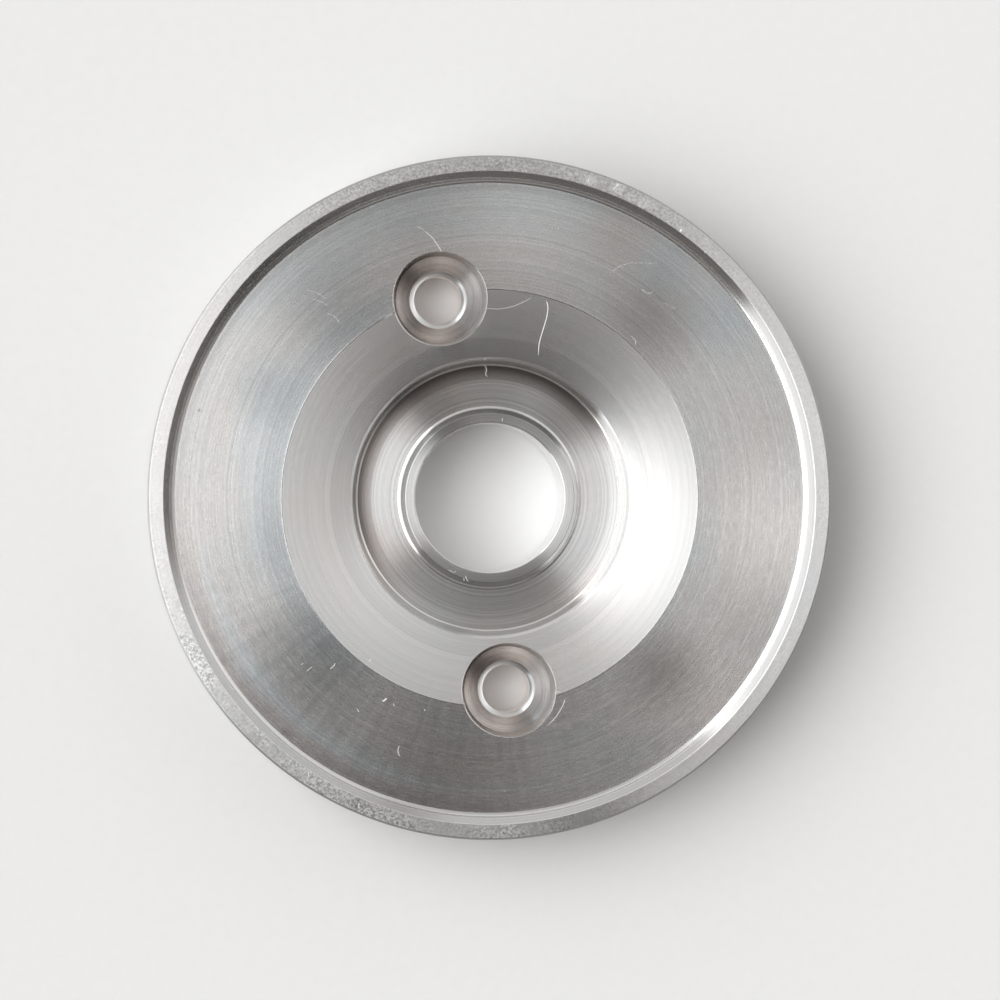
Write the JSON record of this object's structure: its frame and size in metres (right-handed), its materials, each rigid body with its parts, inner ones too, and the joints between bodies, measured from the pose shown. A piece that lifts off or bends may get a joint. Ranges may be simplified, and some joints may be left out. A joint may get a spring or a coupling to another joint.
{
  "type": "cnc turned flange",
  "caption": "Turned aluminium disc with a thin raised rim, dished front face, annular groove, bossed centre bore and countersunk screw holes.",
  "frame": {"origin": "centre of the flat back face, on the bore's axis", "axes": "+Z along the bore out of the dished front face; the two screw holes lie on a line along Y"},
  "size_m": [0.064, 0.064, 0.0085],
  "materials": {
    "turned_aluminium": "bare turned aluminium with fine concentric tool marks, scuffed rim and light scratches"
  },
  "bodies": {
    "root": {"turned_flange": "turned_aluminium"}
  },
  "joints": []
}
